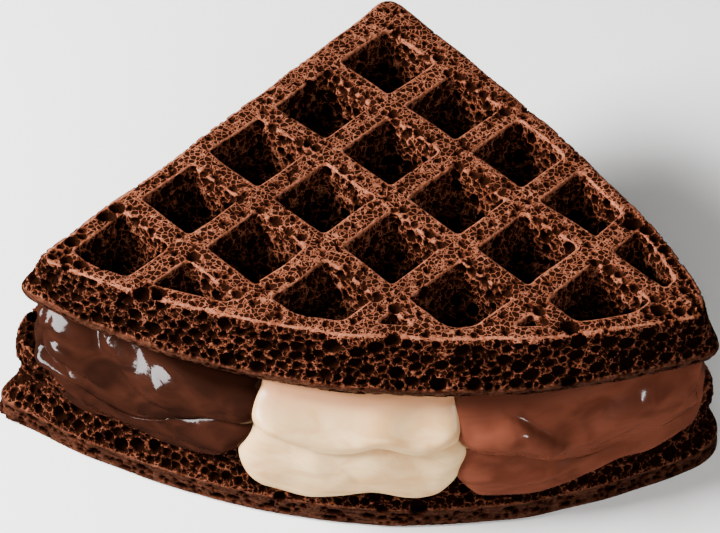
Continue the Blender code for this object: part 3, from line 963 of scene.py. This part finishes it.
def linear(code):
    """An sRGB hex colour as linear red, green, blue and alpha."""
    channels = [int(code[i : i + 2], 16) / 255 for i in (0, 2, 4)]
    return (*[c / 12.92 if c <= 0.04045 else ((c + 0.055) / 1.055) ** 2.4 for c in channels], 1.0)


def add(tree, kind, inputs=None, **settings):
    """Adds a node with its settings, and joins or sets its named inputs.

    A node given as an input joins by its first output.
    """
    made = tree.nodes.new("ShaderNode" + kind)
    for key, value in settings.items():
        setattr(made, key, value)
    for key, value in (inputs or {}).items():
        if isinstance(value, bpy.types.Node):
            value = value.outputs[0]
        if isinstance(value, bpy.types.NodeSocket):
            tree.links.new(value, made.inputs[key])
        else:
            made.inputs[key].default_value = value
    return made


def span(low, high, first, last):
    """Inputs that map the range from low to high onto the one from first to last."""
    return {"From Min": low, "From Max": high, "To Min": first, "To Max": last}


def new_material(name):
    made = bpy.data.materials.new(name)
    made.use_nodes = True
    made.node_tree.nodes.clear()
    return made, made.node_tree


def surfaced(made, surface):
    """The material with its output joined to a principled shader of the given inputs."""
    add(made.node_tree, "OutputMaterial", {"Surface": add(made.node_tree, "BsdfPrincipled", surface)})
    return made


def with_stops(ramp, stops):
    """A colour ramp with its stops set from (position, sRGB hex) pairs."""
    elements = ramp.color_ramp.elements
    for i, (position, code) in enumerate(stops):
        element = elements[i] if i < 2 else elements.new(position)
        element.position = position
        element.color = linear(code)
    return ramp


def baked_crumb():
    """Baked cocoa batter: a dry, open crumb whose thin cell edges are light and slightly glossy, and whose
    pits are deep brown, nearly black; the light edges are partly a painted highlight and the dark pits partly
    painted shade.

    Its attributes pit and sunk are the depths under the waffle's own surface and under its grid's, in
    millimetres.  rind, rim and wall are 1 on the rind, at edges whose pores stay closed and on the
    side wall.
    """
    made, tree = new_material("baked cocoa crumb")
    place = add(tree, "TexCoord").outputs["Object"]
    pit, sunk, rind, rim, wall = (
        add(tree, "Attribute", attribute_name=name).outputs["Fac"] for name in CRUMB_ATTRIBUTES
    )
    patches = add(tree, "TexNoise", {"Vector": place, "Scale": 1 / (6 * MM), "Detail": 4.0})
    grain = add(tree, "TexNoise", {"Vector": place, "Scale": 1 / (0.5 * MM), "Detail": 3.0})
    # Pores too fine for the mesh: the cells of a bent Voronoi pattern, open where their own number
    # allows.  The cells that stay closed hold pores of half their size.
    wander = add(tree, "TexNoise", {"Vector": place, "Scale": 1 / (1.4 * MM), "Detail": 2.0}).outputs["Color"]
    bent = add(tree, "VectorMath", {0: wander, 1: (0.8 * MM,) * 3, 2: place}, operation="MULTIPLY_ADD")
    pore_place = add(tree, "VectorMath", {0: bent, "Scale": 1 / PORE_PITCH}, operation="SCALE")
    closed = add(tree, "Math", {0: rind, 1: 0.75, 2: rim}, operation="MULTIPLY_ADD")
    inner = []
    pores = []
    sizes = ((1.0, -0.16, -0.035, 0.03, 0.3), (2.0, 0.0, 0.05, 0.15, 0.1))
    for scale, thinning, edge, middle, least in sizes:
        cells = {"Vector": pore_place, "Scale": scale}
        distance = add(tree, "TexVoronoi", cells, feature="DISTANCE_TO_EDGE")
        thinned = add(tree, "Math", {0: grain, 1: thinning, 2: distance}, operation="MULTIPLY_ADD")
        inner.append(add(tree, "MapRange", {"Value": thinned, **span(edge, middle, 0.0, 1.0)}))
        number = add(tree, "TexVoronoi", cells, feature="F1").outputs["Color"]
        number = add(tree, "SeparateColor", {"Color": number}).outputs[len(pores)]
        chance = add(tree, "Math", {0: number, 1: closed}, operation="SUBTRACT")
        is_open = add(tree, "Math", {0: chance, 1: least}, operation="GREATER_THAN")
        pores.append(add(tree, "Math", {0: inner[-1], 1: is_open}, operation="MULTIPLY"))
    within = add(tree, "Math", {0: inner[0], 1: pores[1]}, operation="MULTIPLY")
    pore = add(tree, "Math", {0: pores[0], 1: within}, operation="MAXIMUM")
    # By the depth of its pits and of the pores drawn here, the colour runs from light crests to near-black
    # pits: partly the crumb's own browns, partly painted shade in the pits and pores and a painted highlight
    # on the crests.
    depth = add(tree, "Math", {0: pore, 1: 0.8, 2: pit}, operation="MULTIPLY_ADD")
    grainy = add(tree, "Math", {0: grain, 1: 0.5, 2: depth}, operation="MULTIPLY_ADD")
    deep = add(tree, "Math", {0: grainy, 1: 0.2}, operation="SUBTRACT")
    browns_and_shade = ((0.0, "7f4e3a"), (1.0, "150703"), (0.12, "643421"), (0.3, "3a1c11"), (0.55, "210d07"))
    base = with_stops(add(tree, "ValToRGB", {"Fac": deep}), browns_and_shade)
    # Painted shade down the pockets: the colour darkens to four tenths of itself by the depth under the grid's
    # surface.
    low = add(tree, "MapRange", {"Value": sunk, **span(2.0, 7.4, 1.0, 0.4)})
    tone = add(tree, "MapRange", {"Value": patches, **span(0.3, 0.7, 0.75, 1.2)})
    # The rind, pressed against the iron's edge, is smoother with level flakes, and is painted much darker:
    # partly its own duller brown, partly painted shade under the flange's ridge.
    level = add(tree, "Mapping", {"Vector": place, "Scale": (0.5, 0.5, 2.6)})
    flakes = add(tree, "TexNoise", {"Vector": level, "Scale": 1 / (1.5 * MM), "Detail": 3.0})
    flakes_and_shade = add(tree, "MapRange", {"Value": flakes, **span(0.35, 0.62, 0.14, 0.36)})
    rind_shade = add(tree, "Mix", {0: rind, 2: 1.0, 3: flakes_and_shade})
    # Painted shade: the side walls, which the light falls across, are painted three tenths darker than the
    # ribs.
    painted_wall_shade = add(tree, "Math", {0: wall, 1: -0.3, 2: 1.0}, operation="MULTIPLY_ADD")
    strength = low
    for factor in (rind_shade, painted_wall_shade, tone):
        strength = add(tree, "Math", {0: strength, 1: factor}, operation="MULTIPLY")
    raised = add(tree, "Math", {0: pore, 1: -1.0, 2: grain}, operation="MULTIPLY_ADD")
    surface = {
        "Base Color": add(tree, "VectorMath", {0: base, "Scale": strength}, operation="SCALE"),
        "Roughness": add(tree, "MapRange", {"Value": grainy, **span(0.25, 0.8, 0.36, 0.9)}),
        "Normal": add(tree, "Bump", {"Height": raised, "Strength": 0.8, "Distance": 0.22 * MM}),
        "Specular IOR Level": 0.06,
        "Specular Tint": linear("8a4526"),
    }
    return surfaced(made, surface)


def set_chocolate(name, dark, light, upper, roughness, gloss, scatter=0.0):
    """A soft filling: slow streaks between two colours, painted shade in a deeper one up under the waffle, a
    wet surface and a little unevenness."""
    made, tree = new_material(name)
    place = add(tree, "TexCoord").outputs["Object"]
    flat = add(tree, "Mapping", {"Vector": place, "Scale": (1.0, 1.0, 2.2)})
    streaks = add(tree, "TexNoise", {"Vector": flat, "Scale": 1 / (7 * MM), "Detail": 4.0, "Distortion": 0.8})
    streaked = with_stops(add(tree, "ValToRGB", {"Fac": streaks}), ((0.35, dark), (0.65, light)))
    # Painted shade: up under the top waffle the colour turns to upper, with a streaky edge.
    height = add(tree, "SeparateXYZ", {0: place}).outputs[2]
    risen = add(tree, "Math", {0: streaks, 1: 4 * MM, 2: height}, operation="MULTIPLY_ADD")
    shaded = {"Value": risen, **span(28.6 * MM, 32.4 * MM, 0.0, 1.0)}
    under = add(tree, "MapRange", shaded, interpolation_type="SMOOTHSTEP")
    waves = add(tree, "TexNoise", {"Vector": flat, "Scale": 1 / (2.2 * MM), "Detail": 2.0})
    surface = {
        "Base Color": add(tree, "Mix", {0: under, 6: streaked, 7: linear(upper)}, data_type="RGBA").outputs[2],
        "Roughness": roughness,
        "Normal": add(tree, "Bump", {"Height": waves, "Strength": 0.25, "Distance": 0.25 * MM}),
        "Specular IOR Level": gloss,
        "Subsurface Weight": scatter,
        "Subsurface Radius": (1.0, 0.6, 0.35),
        "Subsurface Scale": 1.5 * MM,
    }
    return surfaced(made, surface)


# ----- Stage -----


# The camera stands off the top of the grid's rearmost crossing, in millimetres, and looks down on the
# sandwich from the front, at an azimuth, an elevation and a roll in degrees.
CAMERA_OFFSET = (-10.47, -374.77, 337.56)
CAMERA_ANGLES = (-0.93, 47.27, 0.83)
LENS = 134.5
SENSOR_WIDTH = 36


def add_camera():
    azimuth, elevation, roll = (math.radians(angle) for angle in CAMERA_ANGLES)
    level = math.cos(elevation)
    back = Vector((math.sin(azimuth) * level, -math.cos(azimuth) * level, math.sin(elevation)))
    right = Vector((math.cos(azimuth), math.sin(azimuth), 0))
    up = back.cross(right)
    across = math.cos(roll) * right + math.sin(roll) * up
    above = math.cos(roll) * up - math.sin(roll) * right
    place = (Vector((*GRID_ORIGIN, HEIGHT)) + Vector(CAMERA_OFFSET)) * MM
    data = bpy.data.cameras.new("camera")
    data.lens = LENS
    data.sensor_width = SENSOR_WIDTH
    data.clip_start = 0.01
    made = bpy.data.objects.new("camera", data)
    rows = [(across[i], above[i], back[i], place[i]) for i in range(3)]
    made.matrix_world = Matrix([*rows, (0, 0, 0, 1)])
    bpy.context.scene.collection.objects.link(made)
    bpy.context.scene.camera = made


def add_softbox(name, toward, distance, size, power):
    """A rectangular lamp in a direction from the sandwich, facing it."""
    data = bpy.data.lights.new(name, "AREA")
    data.shape = "RECTANGLE"
    data.size, data.size_y = size
    data.energy = power
    made = bpy.data.objects.new(name, data)
    direction = Vector(toward).normalized()
    made.location = direction * distance
    made.rotation_euler = direction.to_track_quat("Z", "Y").to_euler()
    bpy.context.scene.collection.objects.link(made)
    return made


def add_stage():
    """A white card floor, a dim even sky and softboxes."""
    card, _ = new_material("white studio card")
    surfaced(card, {"Base Color": linear("e2e1df"), "Roughness": 0.85})
    data = bpy.data.meshes.new("floor")
    corners = ((-3, -3), (3, -3), (3, 3), (-3, 3))
    data.from_pydata([(*corner, -0.2 * MM) for corner in corners], [], [(0, 1, 2, 3)])
    data.materials.append(card)
    floor = bpy.data.objects.new("floor", data)
    bpy.context.scene.collection.objects.link(floor)
    floor.visible_glossy = False
    world = bpy.data.worlds.new("studio")
    world.use_nodes = True
    sky = world.node_tree.nodes["Background"].inputs
    sky["Color"].default_value = linear("ffffff")
    sky["Strength"].default_value = 0.05
    bpy.context.scene.world = world
    add_softbox("key softbox", (-0.8, -0.12, 0.6), 0.6, (0.26, 0.2), 23)
    add_softbox("front softbox", (0.2, -1.0, 0.85), 0.8, (0.8, 0.36), 6.4).visible_glossy = False
    add_softbox("glint softbox", (0.85, -0.3, 0.62), 0.7, (0.1, 0.08), 2.5).visible_diffuse = False


add_camera()
add_stage()
crumb = baked_crumb()
top_waffle(crumb)
bottom_waffle(crumb)
# Each chocolate's third colour is its painted shade up under the top waffle.
chocolates = (
    set_chocolate("dark chocolate", "180a06", "27120b", "0e0402", 0.11, 0.06),
    set_chocolate("white chocolate cream", "b2895a", "c5a477", "a0704e", 0.34, 0.2, 0.2),
    set_chocolate("milk chocolate", "4a2519", "5b3022", "3d1e14", 0.13, 0.14, 0.05),
)
for filling, chocolate in zip(FILLINGS, chocolates):
    make_filling(filling, chocolate)
